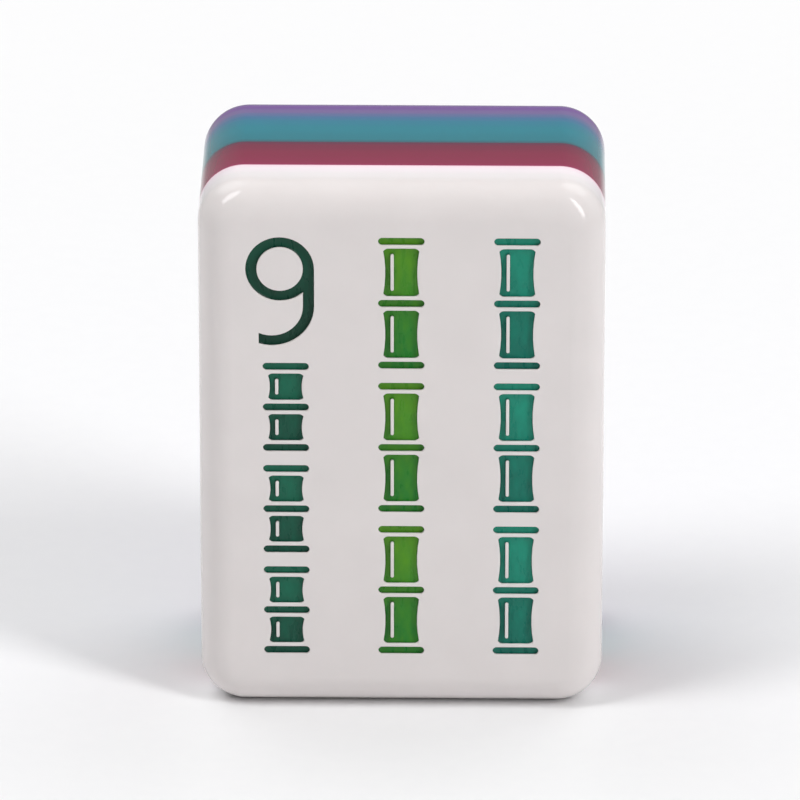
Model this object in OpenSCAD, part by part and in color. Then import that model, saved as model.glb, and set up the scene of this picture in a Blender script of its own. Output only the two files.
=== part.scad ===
// Mahjong tile: four bonded acrylic layers with an engraved, paint-filled face.
// It stands on its lower end, with the face toward -Y and the back toward +Y.
// Every piece is drawn lying on its back, face up, and is then stood on its end.

/* [Tile] */
// Width across the face
tile_w = 22; // [18:0.5:30]
// Height of the face
tile_h = 30.5; // [28:0.5:42]
// Radius of the four corners of the outline
corner_r = 2.5; // [2.5:0.1:4]

/* [Layers] */
// Thickness of the white face layer
face_t = 3.85; // [2.5:0.05:6]
// Thickness of the crimson layer
crimson_t = 3.4; // [1:0.05:6]
// Thickness of the teal layer
teal_t = 3.6; // [1:0.05:6]
// Thickness of the purple back layer
back_t = 4; // [2.8:0.05:7]
// Thickness of each film of cement between two layers
bond_t = 0.05; // [0.03:0.01:0.15]
// Fillet round the edge of the face
face_fillet = 1.9; // [0.5:0.1:2.2]
// Fillet round the edge of the back
back_fillet = 2.4; // [0.5:0.1:2.4]

/* [Engraving] */
// Depth of the engraving below the face
engrave_d = 0.45; // [0.2:0.05:0.8]
// Thickness of the paint on the floor of the engraving
paint_t = 0.22; // [0.1:0.02:0.6]
// Height from the lower end to the lowest sticks
base_margin = 3.3; // [2.3:0.1:6]
// Drop from the upper end to the top of the numeral and the tall sticks
top_margin = 2.7; // [2.3:0.1:5]
// Inset of the outer sticks from the sides
side_margin = 3.5; // [2.3:0.1:5]

/* [Bamboo sticks] */
// Width of a stick across its rings
stick_w = 2.5; // [2:0.1:3.4]
// Upright gap between two sticks in a column
row_gap = 0.8; // [0.3:0.1:1.5]
// Height of each ring
ring_h = 0.44; // [0.3:0.02:0.7]
// Uncut land between a ring and a cane
land_h = 0.18; // [0.1:0.02:0.4]
// How far the rings stand out past the canes on each side
ring_lip = 0.25; // [0.05:0.05:0.4]
// Radius of the corners of a cane
cane_r = 0.3; // [0.1:0.05:0.45]
// How far the sides of a cane are drawn in at its waist
waist_d = 0.14; // [0.05:0.01:0.3]
// Width of the uncut streak on a cane
streak_w = 0.18; // [0.1:0.02:0.24]
// Distance from a streak to the ends of its cane
streak_end = 0.35; // [0.2:0.05:0.55]
// Distance from a streak to the side of its cane
streak_side = 0.42; // [0.38:0.02:0.6]

/* [Numeral] */
// Height of the numeral
numeral_h = 6.3; // [5:0.1:7]
// Width of the numeral
numeral_w = 3.7; // [3:0.1:4.6]
// Stroke of the numeral
numeral_stroke = 0.6; // [0.4:0.02:1]
// Outer radius of the hook at the foot of the numeral
hook_r = 2.3; // [1.8:0.1:3]
// How far the tip of the hook runs past its centre
hook_run = 0.7; // [0.2:0.1:1.2]
// Inset of the numeral from the left side
numeral_side = 2.6; // [2.3:0.1:6]
// Upright gap between the numeral and the stick below it
numeral_gap = 1; // [0.3:0.1:2]

/* [Hidden] */
$fn = 96;
// How far a cut runs past the face
cut_over = 0.5;

// The tile is as thick as its layers and the films between them
bond_count = 3;
tile_t = back_t + teal_t + crimson_t + face_t + bond_count * bond_t;

// Heights of the layers above the back, with the tile lying on it
back_bond_z = back_t;
teal_z = back_bond_z + bond_t;
middle_bond_z = teal_z + teal_t;
crimson_z = middle_bond_z + bond_t;
face_bond_z = crimson_z + crimson_t;
floor_z = tile_t - engrave_d;

// The straight stretches of the outline, between the centres of its corners
span_w = tile_w - 2 * corner_r;
span_h = tile_h - 2 * corner_r;

// The grid of sticks fills the face between its margins, and the left column ends below the numeral
row_names = ["lower", "middle", "upper"];
column_names = ["left", "centre", "right"];
rows = len(row_names);
columns = len(column_names);
field_h = tile_h - base_margin - top_margin;
left_field_h = field_h - numeral_h - numeral_gap;
column_heights = [left_field_h, field_h, field_h];
column_pitch = (tile_w - 2 * side_margin - stick_w) / (columns - 1);
cane_w = stick_w - 2 * ring_lip;

// The numeral is a bowl, and a stem that runs straight from the bowl's centre to the hook's
bowl_r = numeral_w / 2;
stem_h = numeral_h - bowl_r - hook_r;

white = [0.90, 0.88, 0.87];
crimson = [0.50, 0.12, 0.27];
teal = [0.09, 0.45, 0.47];
purple = [0.36, 0.20, 0.53];
clear = [0.86, 0.86, 0.82];
// Paint of the left, centre and right columns of sticks
stick_colours = [[0.05, 0.36, 0.25], [0.22, 0.52, 0.16], [0.08, 0.50, 0.43]];
numeral_colour = [0.05, 0.33, 0.25];

// Height of a stick in one column
function stick_height(column) = (column_heights[column] - (rows - 1) * row_gap) / rows;

// Height of each of a stick's two canes, which lie between its three rings
function cane_height(stick_h) = (stick_h - 3 * ring_h) / 2 - 2 * land_h;

// Radius of the wide arc that draws a cane in by waist_d between its ends
function waist_radius(cane_h) = (cane_h * cane_h / 4 + waist_d * waist_d) / (2 * waist_d);

function stick_name(row, column) = str(row_names[row], "_", column_names[column], "_stick");

// Stands a lying piece on its lower end, with the face toward -Y
module stand() {
    translate([0, tile_t / 2, 0])
        rotate([90, 0, 0])
            children();
}

// Outline of the tile, with its lower end on the X axis
module outline() {
    translate([-tile_w / 2, corner_r])
        square([tile_w, span_h]);
    translate([-span_w / 2, 0])
        square([span_w, tile_h]);
    for (x = [-span_w / 2, span_w / 2], y = [corner_r, corner_r + span_h])
        translate([x, y])
            circle(r = corner_r);
}

// Section of a slab's rim, from the centre of a corner outward, filleted at its lower edge
module rim(thick, fillet) {
    square([corner_r - fillet, thick]);
    translate([corner_r - fillet, fillet]) {
        square([fillet, thick - fillet]);
        intersection() {
            circle(r = fillet);
            translate([0, -fillet])
                square(fillet);
        }
    }
}

// Section across a slab, with a rim at each end of its straight stretch
module slab_section(span, thick, fillet) {
    translate([-span / 2, 0])
        square([span, thick]);
    for (side = [0, 1])
        mirror([side, 0])
            translate([span / 2, 0])
                rim(thick, fillet);
}

// Slab of the tile's outline whose lower edge is filleted all round:
// one run across its width, one across its height, and four turned corners
module filleted_slab(thick, fillet) {
    translate([0, tile_h / 2, 0]) {
        rotate([90, 0, 0])
            linear_extrude(span_h, center = true)
                slab_section(span_w, thick, fillet);
        rotate([90, 0, 90])
            linear_extrude(span_w, center = true)
                slab_section(span_h, thick, fillet);
        for (x = [-1, 1], y = [-1, 1])
            translate([x * span_w / 2, y * span_h / 2, 0])
                rotate_extrude()
                    rim(thick, fillet);
    }
}

// Flat slab of the tile's outline
module flat_slab(z, thick) {
    translate([0, 0, z])
        linear_extrude(thick)
            outline();
}

// Upright slot with round ends, centred
module slot(slot_w, slot_h) {
    square([slot_w, slot_h - slot_w], center = true);
    for (side = [-1, 1])
        translate([0, side * (slot_h - slot_w) / 2])
            circle(d = slot_w);
}

// One cane of a bamboo stick, centred: drawn in at the waist, with an uncut streak
module cane(cane_h) {
    waist_r = waist_radius(cane_h);
    streak_h = cane_h - 2 * streak_end;
    difference() {
        union() {
            square([cane_w, cane_h - 2 * cane_r], center = true);
            square([cane_w - 2 * cane_r, cane_h], center = true);
            for (x = [-1, 1], y = [-1, 1])
                translate([x * (cane_w / 2 - cane_r), y * (cane_h / 2 - cane_r)])
                    circle(r = cane_r);
        }
        for (side = [-1, 1])
            translate([side * (cane_w / 2 - waist_d + waist_r), 0])
                circle(r = waist_r);
        translate([streak_side + streak_w / 2 - cane_w / 2, 0])
            slot(streak_w, streak_h);
    }
}

// Two canes with a ring between them and a ring at each end
module stick(row, column) {
    stick_h = stick_height(column);
    cane_h = cane_height(stick_h);
    x = (column - (columns - 1) / 2) * column_pitch;
    y = base_margin + stick_h / 2 + row * (stick_h + row_gap);
    translate([x, y]) {
        for (step = [-1, 0, 1])
            translate([0, step * (stick_h - ring_h) / 2])
                rotate(90)
                    slot(ring_h, stick_w);
        for (side = [-1, 1])
            translate([0, side * (stick_h - ring_h) / 4])
                cane(cane_h);
    }
}

// All that lies inside one edge of the numeral's stem and hook, drawn about the centre of the hook
module hook(edge_r, over) {
    circle(r = edge_r);
    translate([-hook_r - over, 0])
        square([hook_r + over + edge_r, stem_h + cut_over + over]);
}

// Numeral nine: a round bowl with a stem down its right side that hooks in at the foot
module nine() {
    translate([numeral_side + bowl_r - tile_w / 2, tile_h - top_margin - bowl_r]) {
        difference() {
            circle(r = bowl_r);
            circle(r = bowl_r - numeral_stroke);
        }
        translate([bowl_r - hook_r, -stem_h])
            intersection() {
                difference() {
                    hook(hook_r, 0);
                    hook(hook_r - numeral_stroke, cut_over);
                }
                translate([-hook_run, -2 * hook_r])
                    square([hook_run + 2 * hook_r, 2 * hook_r + stem_h]);
            }
    }
}

// All that is engraved in the face
module design() {
    nine();
    for (row = [0:rows - 1], column = [0:columns - 1])
        stick(row, column);
}

// Paint that covers the floor of one engraved shape
module paint() {
    translate([0, 0, floor_z])
        linear_extrude(paint_t)
            children();
}

module face_layer() {
    color(white)
        stand()
            difference() {
                translate([0, 0, tile_t])
                    mirror([0, 0, 1])
                        filleted_slab(face_t, face_fillet);
                translate([0, 0, floor_z])
                    linear_extrude(engrave_d + cut_over)
                        design();
            }
}

module face_bond() {
    color(clear)
        stand()
            flat_slab(face_bond_z, bond_t);
}

module crimson_layer() {
    color(crimson)
        stand()
            flat_slab(crimson_z, crimson_t);
}

module middle_bond() {
    color(clear)
        stand()
            flat_slab(middle_bond_z, bond_t);
}

module teal_layer() {
    color(teal)
        stand()
            flat_slab(teal_z, teal_t);
}

module back_bond() {
    color(clear)
        stand()
            flat_slab(back_bond_z, bond_t);
}

module back_layer() {
    color(purple)
        stand()
            filleted_slab(back_t, back_fillet);
}

module numeral() {
    color(numeral_colour)
        stand()
            paint()
                nine();
}

module stick_paint(row, column) {
    color(stick_colours[column])
        stand()
            paint()
                stick(row, column);
}

face_layer();
face_bond();
crimson_layer();
middle_bond();
teal_layer();
back_bond();
back_layer();
numeral();
for (row = [0:rows - 1], column = [0:columns - 1])
    stick_paint(row, column);
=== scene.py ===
import math

import bmesh
import bpy
from mathutils import Color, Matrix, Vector


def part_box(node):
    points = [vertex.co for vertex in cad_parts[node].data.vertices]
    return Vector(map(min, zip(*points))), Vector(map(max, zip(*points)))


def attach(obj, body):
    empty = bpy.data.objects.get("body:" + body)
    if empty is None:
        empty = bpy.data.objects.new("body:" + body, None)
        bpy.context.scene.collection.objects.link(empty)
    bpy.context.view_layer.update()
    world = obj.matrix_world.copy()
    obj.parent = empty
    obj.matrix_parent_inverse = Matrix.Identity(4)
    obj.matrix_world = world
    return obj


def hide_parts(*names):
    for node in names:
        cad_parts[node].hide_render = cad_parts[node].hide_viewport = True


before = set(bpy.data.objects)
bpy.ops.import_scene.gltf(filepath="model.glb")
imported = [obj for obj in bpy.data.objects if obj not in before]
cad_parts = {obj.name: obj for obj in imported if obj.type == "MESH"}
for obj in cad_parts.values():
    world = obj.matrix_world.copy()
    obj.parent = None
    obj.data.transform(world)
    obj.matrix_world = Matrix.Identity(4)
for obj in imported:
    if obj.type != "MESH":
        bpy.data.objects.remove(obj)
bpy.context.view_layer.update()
scene = bpy.context.scene
scene.view_settings.view_transform = "Standard"
mm = 0.001
print("frame:", len(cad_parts), "nodes")


# camera: the photograph's direction and distance, closed in on the tile
cameraSetup = {
    "azimuth": 0.8,        # degrees, from square on to the face towards +X
    "elevation": 22.65,
    "distance": 512 * mm,
    "lens": 419,
    "sensor": 36,
    "aim": Vector((-0.17 * mm, 0, 15.25 * mm)),
}


def direction(azimuth, elevation):
    a, e = math.radians(azimuth), math.radians(elevation)
    return Vector((math.sin(a) * math.cos(e), -math.cos(a) * math.cos(e), math.sin(e)))


def lookAt(obj, place, target):
    obj.location = place
    obj.rotation_euler = (target - place).to_track_quat("-Z", "Y").to_euler()


def addCamera(setup):
    data = bpy.data.cameras.new("camera")
    data.lens = setup["lens"]
    data.sensor_width = setup["sensor"]
    camera = bpy.data.objects.new("camera", data)
    scene.collection.objects.link(camera)
    reach = direction(setup["azimuth"], setup["elevation"]) * setup["distance"]
    lookAt(camera, setup["aim"] + reach, setup["aim"])
    scene.camera = camera


addCamera(cameraSetup)
print("camera set")


# shader helpers
mixSockets = {"first": 6, "second": 7, "result": 2}   # the colour sockets of a Mix node
white = (1, 1, 1, 1)


def linear(red, green, blue):
    fullByte = 255
    colour = Color((red / fullByte, green / fullByte, blue / fullByte))
    return (*colour.from_srgb_to_scene_linear(), 1)


def newMaterial(name):
    material = bpy.data.materials.new(name)
    material.use_nodes = True
    tree = material.node_tree
    return material, tree, tree.nodes["Principled BSDF"]


def newGroup(name, inputs, outputs):
    tree = bpy.data.node_groups.new(name, "ShaderNodeTree")
    for label, kind in inputs:
        tree.interface.new_socket(label, in_out="INPUT", socket_type=kind)
    for label, kind in outputs:
        tree.interface.new_socket(label, in_out="OUTPUT", socket_type=kind)
    start = tree.nodes.new("NodeGroupInput")
    end = tree.nodes.new("NodeGroupOutput")
    return tree, start.outputs, end.inputs


def addNode(tree, kind, inputs=None, **settings):
    node = tree.nodes.new(kind)
    for key, value in settings.items():
        setattr(node, key, value)
    for key, value in (inputs or {}).items():
        if isinstance(value, bpy.types.NodeSocket):
            tree.links.new(value, node.inputs[key])
        else:
            node.inputs[key].default_value = value
    return node


def addGroup(tree, group, inputs):
    return addNode(tree, "ShaderNodeGroup", inputs, node_tree=group).outputs


def maths(tree, operation, first, second, **settings):
    return addNode(tree, "ShaderNodeMath", {0: first, 1: second}, operation=operation, **settings).outputs[0]


def scaled(tree, vector, factor):
    inputs = {0: vector, "Scale": factor}
    return addNode(tree, "ShaderNodeVectorMath", inputs, operation="SCALE").outputs["Vector"]


def mapRange(tree, value, start, end, low=0.0, high=1.0, **settings):
    limits = {"Value": value, "From Min": start, "From Max": end, "To Min": low, "To Max": high}
    return addNode(tree, "ShaderNodeMapRange", limits, **settings).outputs["Result"]


def pick(tree, mask, atZero, atOne):
    return mapRange(tree, mask, 0.0, 1.0, atZero, atOne)


def mixColours(tree, share, first, second):
    inputs = {"Factor": share, mixSockets["first"]: first, mixSockets["second"]: second}
    return addNode(tree, "ShaderNodeMix", inputs, data_type="RGBA").outputs[mixSockets["result"]]


def noise(tree, place, scale=1.0, detail=0.0):
    inputs = {"Vector": place, "Scale": scale, "Detail": detail}
    return addNode(tree, "ShaderNodeTexNoise", inputs).outputs["Fac"]


def attribute(tree, name):
    return addNode(tree, "ShaderNodeAttribute", attribute_name=name).outputs["Fac"]


def objectPlace(tree):
    return addNode(tree, "ShaderNodeTexCoord").outputs["Object"]


def placeInMm(tree):
    return scaled(tree, objectPlace(tree), 1 / mm)


# buffed surface: slow waves left by the wheel, a faint haze and a few hairlines
polish = {
    "waveScale": 0.25, "waveDetail": 1.0,     # waves per mm
    "cloudScale": 0.35, "cloudDetail": 3.0,   # patches of haze per mm
    "cloudSpan": (0.3, 0.7),
    "toneSpan": (0.985, 1.015),               # how far the haze darkens and lightens the colour
    "hairScale": (0.22, 9.0, 9.0),            # long one way and thin across
    "hairSpan": (0.77, 0.82),                 # only the crests of the noise show
    "hairDip": -0.25,
    "hairSets": (((20, 35, 12), 61.0), ((-35, 14, 50), 73.0), ((64, -22, -31), 67.0)),   # degrees, offset
}


def makeBuffedGroup(setup):
    tree, given, out = newGroup(
        "buffedSurface",
        [("Roughness", "NodeSocketFloat"), ("Haze", "NodeSocketFloat"), ("Hairline", "NodeSocketFloat")],
        [("Roughness", "NodeSocketFloat"), ("Height", "NodeSocketFloat"), ("Tone", "NodeSocketFloat")])
    inMm = placeInMm(tree)
    wave = noise(tree, inMm, setup["waveScale"], setup["waveDetail"])
    cloud = noise(tree, inMm, setup["cloudScale"], setup["cloudDetail"])
    hairs = None
    for turn, offset in setup["hairSets"]:
        strands = addNode(tree, "ShaderNodeMapping", {
            "Vector": inMm, "Location": (offset, 0, 0), "Rotation": [math.radians(t) for t in turn],
            "Scale": setup["hairScale"]}).outputs["Vector"]
        crests = mapRange(tree, noise(tree, strands), *setup["hairSpan"])
        hairs = crests if hairs is None else maths(tree, "MAXIMUM", hairs, crests)
    hairMask = maths(tree, "MULTIPLY", hairs, given["Hairline"])
    hazeMask = maths(tree, "MULTIPLY", cloud, given["Haze"])
    hazed = maths(tree, "ADD", given["Roughness"], hazeMask)
    dip = maths(tree, "MULTIPLY", hairMask, setup["hairDip"])
    tree.links.new(maths(tree, "ADD", hazed, hairMask), out["Roughness"])
    tree.links.new(maths(tree, "ADD", wave, dip), out["Height"])
    tree.links.new(mapRange(tree, cloud, *setup["cloudSpan"], *setup["toneSpan"]), out["Tone"])
    return tree


# enamel wiped into a cut: thick and dark along the walls, thinner towards its upper end
wiping = {
    "wipeScale": (3.2, 3.2, 1.1),             # streaks per mm, drawn out up the tile
    "grainScale": 14.0, "grainShare": 0.3,
    "detail": 2.0,
    "wipeSpan": (0.3, 0.7),
    "cloudSpan": (-0.16, 0.16),               # share of thin paint that the streaks add or take
    "riseSpan": (0.1, 1.0), "fadeSpan": (0.1, 0.85),
    "poolShare": 0.7,                         # how much thick paint shows where it pools
    "roughSpan": (0.24, 0.38),
}


def makeEnamelGroup(setup):
    tree, given, out = newGroup(
        "enamelFill",
        [("Paint", "NodeSocketColor"), ("Thick", "NodeSocketColor"), ("Thin", "NodeSocketColor")],
        [("Color", "NodeSocketColor"), ("Roughness", "NodeSocketFloat"), ("Height", "NodeSocketFloat")])
    inMm = placeInMm(tree)
    wiped = addNode(tree, "ShaderNodeMapping", {
        "Vector": inMm, "Scale": setup["wipeScale"]}).outputs["Vector"]
    wipe = noise(tree, wiped, detail=setup["detail"])
    grain = noise(tree, inMm, setup["grainScale"], setup["detail"])
    cloud = mapRange(tree, wipe, *setup["wipeSpan"], *setup["cloudSpan"])
    fade = mapRange(tree, attribute(tree, "rise"), *setup["riseSpan"], *setup["fadeSpan"],
                    interpolation_type="SMOOTHSTEP")
    thin = maths(tree, "ADD", fade, cloud, use_clamp=True)
    body = mixColours(tree, thin, given["Paint"], given["Thin"])
    edge = maths(tree, "MULTIPLY", attribute(tree, "pool"), setup["poolShare"])
    bumps = maths(tree, "MULTIPLY", grain, setup["grainShare"])
    tree.links.new(mixColours(tree, edge, body, given["Thick"]), out["Color"])
    tree.links.new(mapRange(tree, wipe, *setup["wipeSpan"], *setup["roughSpan"]), out["Roughness"])
    tree.links.new(maths(tree, "ADD", wipe, bumps), out["Height"])
    return tree


buffedGroup = makeBuffedGroup(polish)
enamelGroup = makeEnamelGroup(wiping)


def dressShader(tree, shader, colour, surface, gloss):
    tree.links.new(colour, shader.inputs["Base Color"])
    tree.links.new(surface["Roughness"], shader.inputs["Roughness"])
    bump = addNode(tree, "ShaderNodeBump", {
        "Height": surface["Height"], "Strength": gloss["bumpStrength"], "Distance": gloss["bumpDepth"]})
    tree.links.new(bump.outputs["Normal"], shader.inputs["Normal"])
    shader.inputs["IOR"].default_value = gloss["ior"]
    shader.inputs["Specular IOR Level"].default_value = gloss["specular"]


# fade is the colour through the depth of a layer, as (mm along Y, colour): painted light, where light crosses
# the joints and tints each layer near its neighbours
acrylicGloss = {"ior": 1.49, "specular": 0.36, "bumpStrength": 1.0, "bumpDepth": 0.004 * mm}
acrylics = {
    "whiteAcrylic": {
        # painted light: the white grows lighter and pinker towards the crimson joint, a painted bright top
        # edge and painted light coming through the joint
        "fade": [(-6.0, (227, 221, 220)), (-5.0, (233, 228, 229)), (-4.2, (241, 231, 236)),
                 (-3.85, (247, 227, 236)), (-3.65, (247, 212, 225))],
        "roughness": 0.06, "haze": 0.04, "hairline": 0.05, "scatter": 0.1, "radius": (0.6, 0.5, 0.5),
    },
    "crimsonAcrylic": {
        "fade": [(-3.6, (142, 14, 72)), (-3.2, (134, 8, 62)), (-2.0, (128, 8, 57)),
                 (-0.8, (116, 12, 55)), (-0.2, (92, 28, 62))],
        "roughness": 0.06, "haze": 0.04, "hairline": 0.05, "scatter": 0.08, "radius": (0.5, 0.15, 0.25),
    },
    "tealAcrylic": {
        "fade": [(-0.15, (40, 92, 106)), (0.35, (12, 116, 130)), (2.0, (8, 122, 138)),
                 (2.9, (26, 118, 142)), (3.45, (52, 110, 146))],
        "roughness": 0.06, "haze": 0.04, "hairline": 0.05, "scatter": 0.08, "radius": (0.15, 0.4, 0.45),
    },
    "purpleAcrylic": {
        "fade": [(3.5, (54, 108, 147)), (3.95, (86, 102, 146)), (4.45, (112, 94, 146)),
                 (5.1, (110, 72, 144)), (6.0, (92, 44, 138)), (6.8, (86, 34, 136))],
        "roughness": 0.08, "haze": 0.04, "hairline": 0.05, "scatter": 0.08, "radius": (0.4, 0.2, 0.6),
    },
}


def makeAcrylic(name, finish):
    material, tree, shader = newMaterial(name)
    fade = finish["fade"]
    front, back = fade[0][0], fade[-1][0]
    depth = addNode(tree, "ShaderNodeSeparateXYZ", {0: objectPlace(tree)}).outputs["Y"]
    # painted light: this ramp along Y paints the light crossing the joints, and the white's bright top edge,
    # into the base colour
    ramp = addNode(tree, "ShaderNodeValToRGB", {"Fac": mapRange(tree, depth, front * mm, back * mm)})
    ramp.color_ramp.interpolation = "EASE"
    points = ramp.color_ramp.elements
    while len(points) < len(fade):
        points.new(0.5)                       # the loop below sets its place
    for point, (y, colour) in zip(points, fade):
        point.position = (y - front) / (back - front)
        point.color = linear(*colour)
    buffed = addGroup(tree, buffedGroup, {
        "Roughness": finish["roughness"], "Haze": finish["haze"], "Hairline": finish["hairline"]})
    toned = scaled(tree, ramp.outputs["Color"], buffed["Tone"])
    dressShader(tree, shader, toned, buffed, acrylicGloss)
    shader.inputs["Subsurface Weight"].default_value = finish["scatter"]
    shader.inputs["Subsurface Radius"].default_value = finish["radius"]
    shader.inputs["Subsurface Scale"].default_value = mm
    return material


enamelGloss = {"ior": 1.5, "specular": 0.25, "bumpStrength": 0.6, "bumpDepth": 0.02 * mm}
enamels = {
    "numeralEnamel": {"Paint": (2, 56, 40), "Thick": (1, 34, 23), "Thin": (6, 74, 55)},
    "deepGreenEnamel": {"Paint": (4, 74, 56), "Thick": (1, 40, 32), "Thin": (18, 108, 82)},
    "leafGreenEnamel": {"Paint": (30, 120, 38), "Thick": (8, 68, 14), "Thin": (86, 150, 22)},
    "tealEnamel": {"Paint": (4, 106, 90), "Thick": (1, 62, 56), "Thin": (26, 148, 122)},
}


def makeEnamel(name, colours):
    material, tree, shader = newMaterial(name)
    fill = addGroup(tree, enamelGroup, {label: linear(*colour) for label, colour in colours.items()})
    dressShader(tree, shader, fill["Color"], fill, enamelGloss)
    return material


# cement films take the mixed tint of the layers on their two sides
cementLook = {
    "ior": 1.49,
    "roughness": 0.1, "haze": 0.1, "hairline": 0.05,
    "patchScale": 0.6, "patchDetail": 2.0,    # patches per mm
}
cements = {
    "face_bond": ((196, 112, 146), (208, 128, 160)),
    "middle_bond": ((60, 56, 78), (72, 64, 84)),
    "back_bond": ((51, 107, 144), (55, 110, 148)),
}


def makeCement(name, dull, clear):
    material, tree, shader = newMaterial(name)
    patch = noise(tree, placeInMm(tree), cementLook["patchScale"], cementLook["patchDetail"])
    tint = mixColours(tree, patch, linear(*dull), linear(*clear))
    buffed = addGroup(tree, buffedGroup, {
        "Roughness": cementLook["roughness"], "Haze": cementLook["haze"], "Hairline": cementLook["hairline"]})
    tree.links.new(tint, shader.inputs["Base Color"])
    tree.links.new(buffed["Roughness"], shader.inputs["Roughness"])
    shader.inputs["IOR"].default_value = cementLook["ior"]
    return material


materials = {name: makeAcrylic(name, finish) for name, finish in acrylics.items()}
materials.update({name: makeEnamel(name, colours) for name, colours in enamels.items()})
for node, (dull, clear) in cements.items():
    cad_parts[node].material_slots[0].material = makeCement("cement_" + node, dull, clear)
print("materials:", len(materials) + len(cements))


# mesh helpers
tolerance = {"same": 1e-7, "cut": 1e-8, "level": 1e-6}   # metres


def addPiece(name, bm, material, node, sharpAngle):
    mesh = bpy.data.meshes.new(name)
    bm.to_mesh(mesh)
    bm.free()
    mesh.materials.append(materials[material])
    mesh.polygons.foreach_set("use_smooth", [True] * len(mesh.polygons))
    mesh.set_sharp_from_angle(angle=math.radians(sharpAngle))
    piece = bpy.data.objects.new(name, mesh)
    scene.collection.objects.link(piece)
    weighted = piece.modifiers.new("flat_normals", "WEIGHTED_NORMAL")
    weighted.keep_sharp = True
    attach(piece, "root")
    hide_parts(node)


def rimEdges(bm, y):
    return [e for e in bm.edges if all(abs(v.co.y - y) < tolerance["same"] for v in e.verts)]


def bevelEdges(bm, edges, offset, steps):
    bmesh.ops.bevel(bm, geom=edges, offset=offset, offset_type="OFFSET", segments=steps, profile=0.5,
                    affect="EDGES", material=-1, clamp_overlap=False)


# layers
layerShape = {
    "cornerR": 2.5 * mm, "cornerSteps": 20,
    "faceFillet": 1.9 * mm, "backFillet": 2.4 * mm, "filletSteps": 16,
    "crown": 0.15 * mm,          # fall of the back from its middle to its corners
    "crownCuts": 12,
    "sharpAngle": 35,            # degrees
}


def slab(node, frontFillet=0, backFillet=0):
    low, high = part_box(node)
    size = high - low
    bm = bmesh.new()
    bmesh.ops.create_cube(bm, size=1)
    bmesh.ops.scale(bm, vec=size, verts=bm.verts)
    bmesh.ops.translate(bm, vec=(low + high) / 2, verts=bm.verts)
    through = [e for e in bm.edges if abs(e.verts[0].co.y - e.verts[1].co.y) > size.y / 2]
    bevelEdges(bm, through, layerShape["cornerR"], layerShape["cornerSteps"])
    for y, fillet in ((low.y, frontFillet), (high.y, backFillet)):
        if fillet:
            bevelEdges(bm, rimEdges(bm, y), fillet, layerShape["filletSteps"])
    return bm


def crownBack(bm, node):
    low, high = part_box(node)
    middle, half = (low + high) / 2, (high - low) / 2
    cuts = layerShape["crownCuts"]
    for way in (Vector((1, 0, 0)), Vector((0, 0, 1))):
        for i in range(1, cuts):
            at = low.lerp(high, i / cuts) * way
            bmesh.ops.bisect_plane(bm, geom=bm.verts[:] + bm.edges[:] + bm.faces[:], dist=tolerance["cut"],
                                   plane_co=at, plane_no=way)
    for v in bm.verts:
        rise = (v.co.y - low.y) / (high.y - low.y)
        across = ((v.co.x - middle.x) / half.x) ** 2 + ((v.co.z - middle.z) / half.z) ** 2
        v.co.y -= layerShape["crown"] * across / 2 * rise ** 2


addPiece("crimson_sheet", slab("crimson_layer"), "crimsonAcrylic", "crimson_layer",
         layerShape["sharpAngle"])
addPiece("teal_sheet", slab("teal_layer"), "tealAcrylic", "teal_layer",
         layerShape["sharpAngle"])
purple = slab("back_layer", backFillet=layerShape["backFillet"])
crownBack(purple, "back_layer")
addPiece("purple_back", purple, "purpleAcrylic", "back_layer", layerShape["sharpAngle"])
print("layers: crimson, teal, purple")


# engraved face: the paint nodes give the cuts
engraving = {
    "mergeBelow": 0.02 * mm,    # shortest edge kept on an outline
    "overrun": 0.5 * mm,        # how far the cutters run out past the face
    "rimEase": 0.035 * mm,      # soft edge the buffing leaves round each cut
    "rimSteps": 2,
    "rimAngle": 60,             # degrees, least turn at the rim of a cut
    "climb": 0.08 * mm,         # paint drawn up the walls of a cut
    "skinFacing": 0.9,          # how squarely the paint's open face looks out of the tile
    # rings of the paint's skin from the wall inwards: width, height over the flat, share of thick paint
    "skinRings": ((0.03 * mm, 0.035 * mm, 0.6), (0.03 * mm, 0.01 * mm, 0.25), (0.03 * mm, 0.0, 0.0)),
    "faceSharp": 40, "paintSharp": 50,   # degrees
}
paints = {"numeral": ("numeralEnamel", "deep_green_paint")}
for column, finish, slotName in (("left", "deepGreenEnamel", "deep_green_paint"),
                                 ("centre", "leafGreenEnamel", "leaf_green_paint"),
                                 ("right", "tealEnamel", "teal_paint")):
    for row in ("lower", "middle", "upper"):
        paints[f"{row}_{column}_stick"] = (finish, slotName)


def mergedCopy(node):
    bm = bmesh.new()
    bm.from_mesh(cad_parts[node].data)
    bmesh.ops.remove_doubles(bm, verts=bm.verts, dist=engraving["mergeBelow"])
    return bm


def cutterMesh(faceY):
    cutter = bmesh.new()
    for node in paints:
        copy = mergedCopy(node)
        top = min(v.co.y for v in copy.verts)
        for v in copy.verts:
            if v.co.y < top + tolerance["level"]:
                v.co.y = faceY - engraving["overrun"]
        scrap = bpy.data.meshes.new("scrap")
        copy.to_mesh(scrap)
        copy.free()
        cutter.from_mesh(scrap)
        bpy.data.meshes.remove(scrap)
    return cutter


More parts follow.
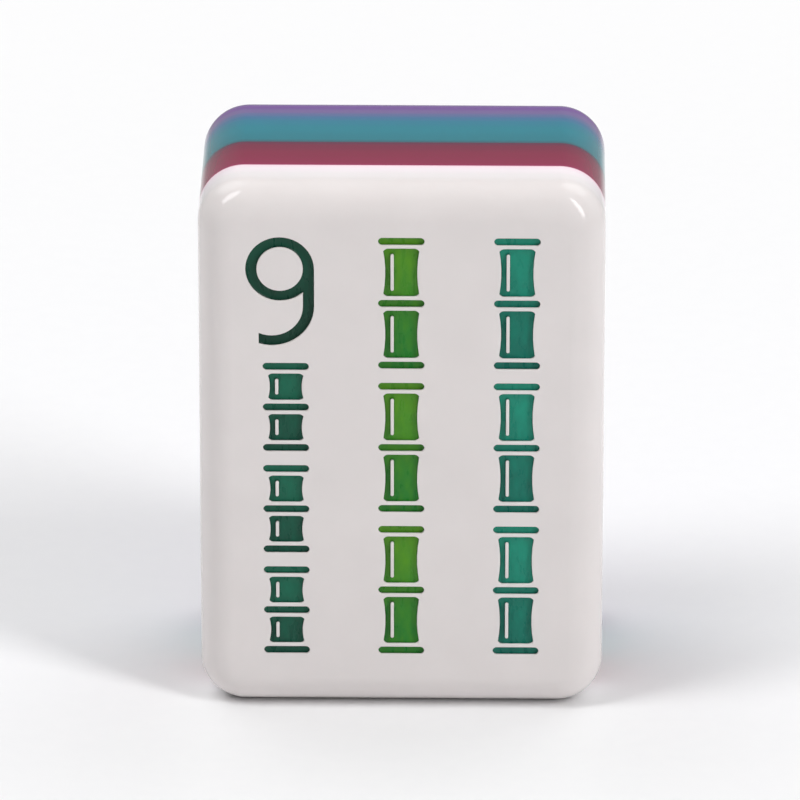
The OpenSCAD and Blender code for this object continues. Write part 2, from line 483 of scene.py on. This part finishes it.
def engrave(blank, cutter):
    holders = []
    for name, part in (("blank", blank), ("cutter", cutter)):
        mesh = bpy.data.meshes.new(name)
        part.to_mesh(mesh)
        part.free()
        holder = bpy.data.objects.new(name, mesh)
        scene.collection.objects.link(holder)
        holders.append(holder)
    cut = holders[0].modifiers.new("cut", "BOOLEAN")
    cut.operation = "DIFFERENCE"
    cut.solver = "EXACT"
    cut.object = holders[1]
    bpy.context.view_layer.update()
    graph = bpy.context.evaluated_depsgraph_get()
    carved = bpy.data.meshes.new_from_object(holders[0].evaluated_get(graph))
    result = bmesh.new()
    result.from_mesh(carved)
    for holder in holders:
        mesh = holder.data
        bpy.data.objects.remove(holder)
        bpy.data.meshes.remove(mesh)
    bpy.data.meshes.remove(carved)
    bmesh.ops.remove_doubles(result, verts=result.verts, dist=tolerance["same"])
    return result


def easeRims(bm, faceY):
    turn = math.radians(engraving["rimAngle"])
    rims = [e for e in rimEdges(bm, faceY) if len(e.link_faces) == 2 and e.calc_face_angle(0) > turn]
    bevelEdges(bm, rims, engraving["rimEase"], engraving["rimSteps"])
    print("face engraved,", len(rims), "rim edges eased")


def paintFill(node):
    bm = mergedCopy(node)
    pool = bm.verts.layers.float.new("pool")   # share of thick paint
    rise = bm.verts.layers.float.new("rise")   # 0 at the lower end of the mark, 1 at its upper end
    top = min(v.co.y for v in bm.verts)
    skin = [f for f in bm.faces if -f.normal.y > engraving["skinFacing"]]
    for v in {v for f in skin for v in f.verts}:
        v.co.y = top - engraving["climb"]
        v[pool] = 1
    for width, lift, thick in engraving["skinRings"]:
        bmesh.ops.inset_region(bm, faces=skin, thickness=width, use_even_offset=False, use_boundary=True)
        for v in {v for f in skin for v in f.verts}:
            v.co.y = top - lift
            v[pool] = thick
    foot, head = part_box(node)
    for v in bm.verts:
        v[rise] = (v.co.z - foot.z) / (head.z - foot.z)
    return bm


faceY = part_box("face_layer")[0].y
face = engrave(slab("face_layer", frontFillet=layerShape["faceFillet"]), cutterMesh(faceY))
easeRims(face, faceY)
addPiece("white_face", face, "whiteAcrylic", "face_layer", engraving["faceSharp"])
for node, (finish, slotName) in paints.items():
    addPiece(node + "_paint", paintFill(node), finish, node, engraving["paintSharp"])
print("paint fills:", len(paints))


# studio floor: a paper sweep that keeps the shadow near the tile and turns white away from it
floorSetup = {
    "radius": 5.0, "segments": 64,
    "near": 45 * mm, "far": 160 * mm,     # where the white begins and where it is full
    "drop": 0.01 * mm,
    "seen": 1.0, "mirrored": 0.5,         # how bright the white is to the camera and in the polish
    "tones": ((0.86, 0.86, 0.87, 1), (0.88, 0.88, 0.885, 1)),
    "fibreScale": 900.0, "fibreDetail": 2.0,
    "roughness": 0.8, "specular": 0.1,
}


def makeFloor(setup):
    bm = bmesh.new()
    bmesh.ops.create_circle(bm, cap_ends=True, segments=setup["segments"], radius=setup["radius"])
    bmesh.ops.translate(bm, vec=(0, 0, -setup["drop"]), verts=bm.verts)
    mesh = bpy.data.meshes.new("floor")
    bm.to_mesh(mesh)
    bm.free()
    material, tree, shader = newMaterial("paperSweep")
    place = objectPlace(tree)
    fibre = noise(tree, place, setup["fibreScale"], setup["fibreDetail"])
    tree.links.new(mixColours(tree, fibre, *setup["tones"]), shader.inputs["Base Color"])
    shader.inputs["Roughness"].default_value = setup["roughness"]
    shader.inputs["Specular IOR Level"].default_value = setup["specular"]
    reach = addNode(tree, "ShaderNodeVectorMath", {0: place}, operation="LENGTH").outputs["Value"]
    away = mapRange(tree, reach, setup["near"], setup["far"], interpolation_type="SMOOTHSTEP")
    path = addNode(tree, "ShaderNodeLightPath").outputs
    seen = maths(tree, "MAXIMUM", path["Is Camera Ray"], path["Is Glossy Ray"])
    seen = maths(tree, "MAXIMUM", seen, path["Is Transmission Ray"])
    level = pick(tree, path["Is Glossy Ray"], setup["seen"], setup["mirrored"])
    glow = addNode(tree, "ShaderNodeEmission", {"Color": white, "Strength": level}).outputs[0]
    mixed = addNode(tree, "ShaderNodeMixShader", {
        0: maths(tree, "MULTIPLY", away, seen), 1: shader.outputs[0], 2: glow})
    tree.links.new(mixed.outputs[0], tree.nodes["Material Output"].inputs["Surface"])
    mesh.materials.append(material)
    floor = bpy.data.objects.new("floor", mesh)
    scene.collection.objects.link(floor)


# softboxes: degrees, metres and watts
softboxes = {
    "leftBox": {"azimuth": -66, "elevation": 59, "distance": 0.75, "size": (0.22, 0.63), "power": 2.35},
    "rightBox": {"azimuth": 54, "elevation": 36, "distance": 0.75, "size": (0.18, 0.7), "power": 2.95},
    "backLeftBox": {"azimuth": -140, "elevation": 52, "distance": 0.8, "size": (0.62, 0.62), "power": 1.6},
    "backRightBox": {"azimuth": 138, "elevation": 50, "distance": 0.8, "size": (0.62, 0.62), "power": 1.6},
}


def addSoftbox(name, setup):
    data = bpy.data.lights.new(name, "AREA")
    data.shape = "ELLIPSE"
    data.size, data.size_y = setup["size"]
    data.energy = setup["power"]
    lamp = bpy.data.objects.new(name, data)
    lamp.visible_camera = False
    scene.collection.objects.link(lamp)
    aim = cameraSetup["aim"]
    lookAt(lamp, aim + direction(setup["azimuth"], setup["elevation"]) * setup["distance"], aim)


# what lights the tile from all round, and what it mirrors: pale round the horizon, dim towards the ceiling
ambient = {
    "seen": 1.0, "level": 0.21,           # how bright it is to the camera, and as a light
    "mirrored": 0.5, "ceiling": 0.12,
    "paleBelow": 0.3, "dimAbove": 0.7,    # heights of the fade, as the sine of the elevation
}


def makeWorld(setup):
    world = bpy.data.worlds.new("studio")
    scene.world = world
    world.use_nodes = True
    tree = world.node_tree
    path = addNode(tree, "ShaderNodeLightPath").outputs
    way = addNode(tree, "ShaderNodeTexCoord").outputs["Generated"]
    up = addNode(tree, "ShaderNodeSeparateXYZ", {0: way}).outputs["Z"]
    mirrored = mapRange(tree, up, setup["paleBelow"], setup["dimAbove"], setup["mirrored"], setup["ceiling"],
                        interpolation_type="SMOOTHSTEP")
    plain = maths(tree, "MAXIMUM", path["Is Camera Ray"], path["Is Transmission Ray"])
    lit = pick(tree, path["Is Glossy Ray"], setup["level"], mirrored)
    background = tree.nodes["Background"].inputs
    tree.links.new(pick(tree, plain, lit, setup["seen"]), background["Strength"])
    background["Color"].default_value = white


makeFloor(floorSetup)
for name, setup in softboxes.items():
    addSoftbox(name, setup)
makeWorld(ambient)
print("studio: floor,", len(softboxes), "softboxes")
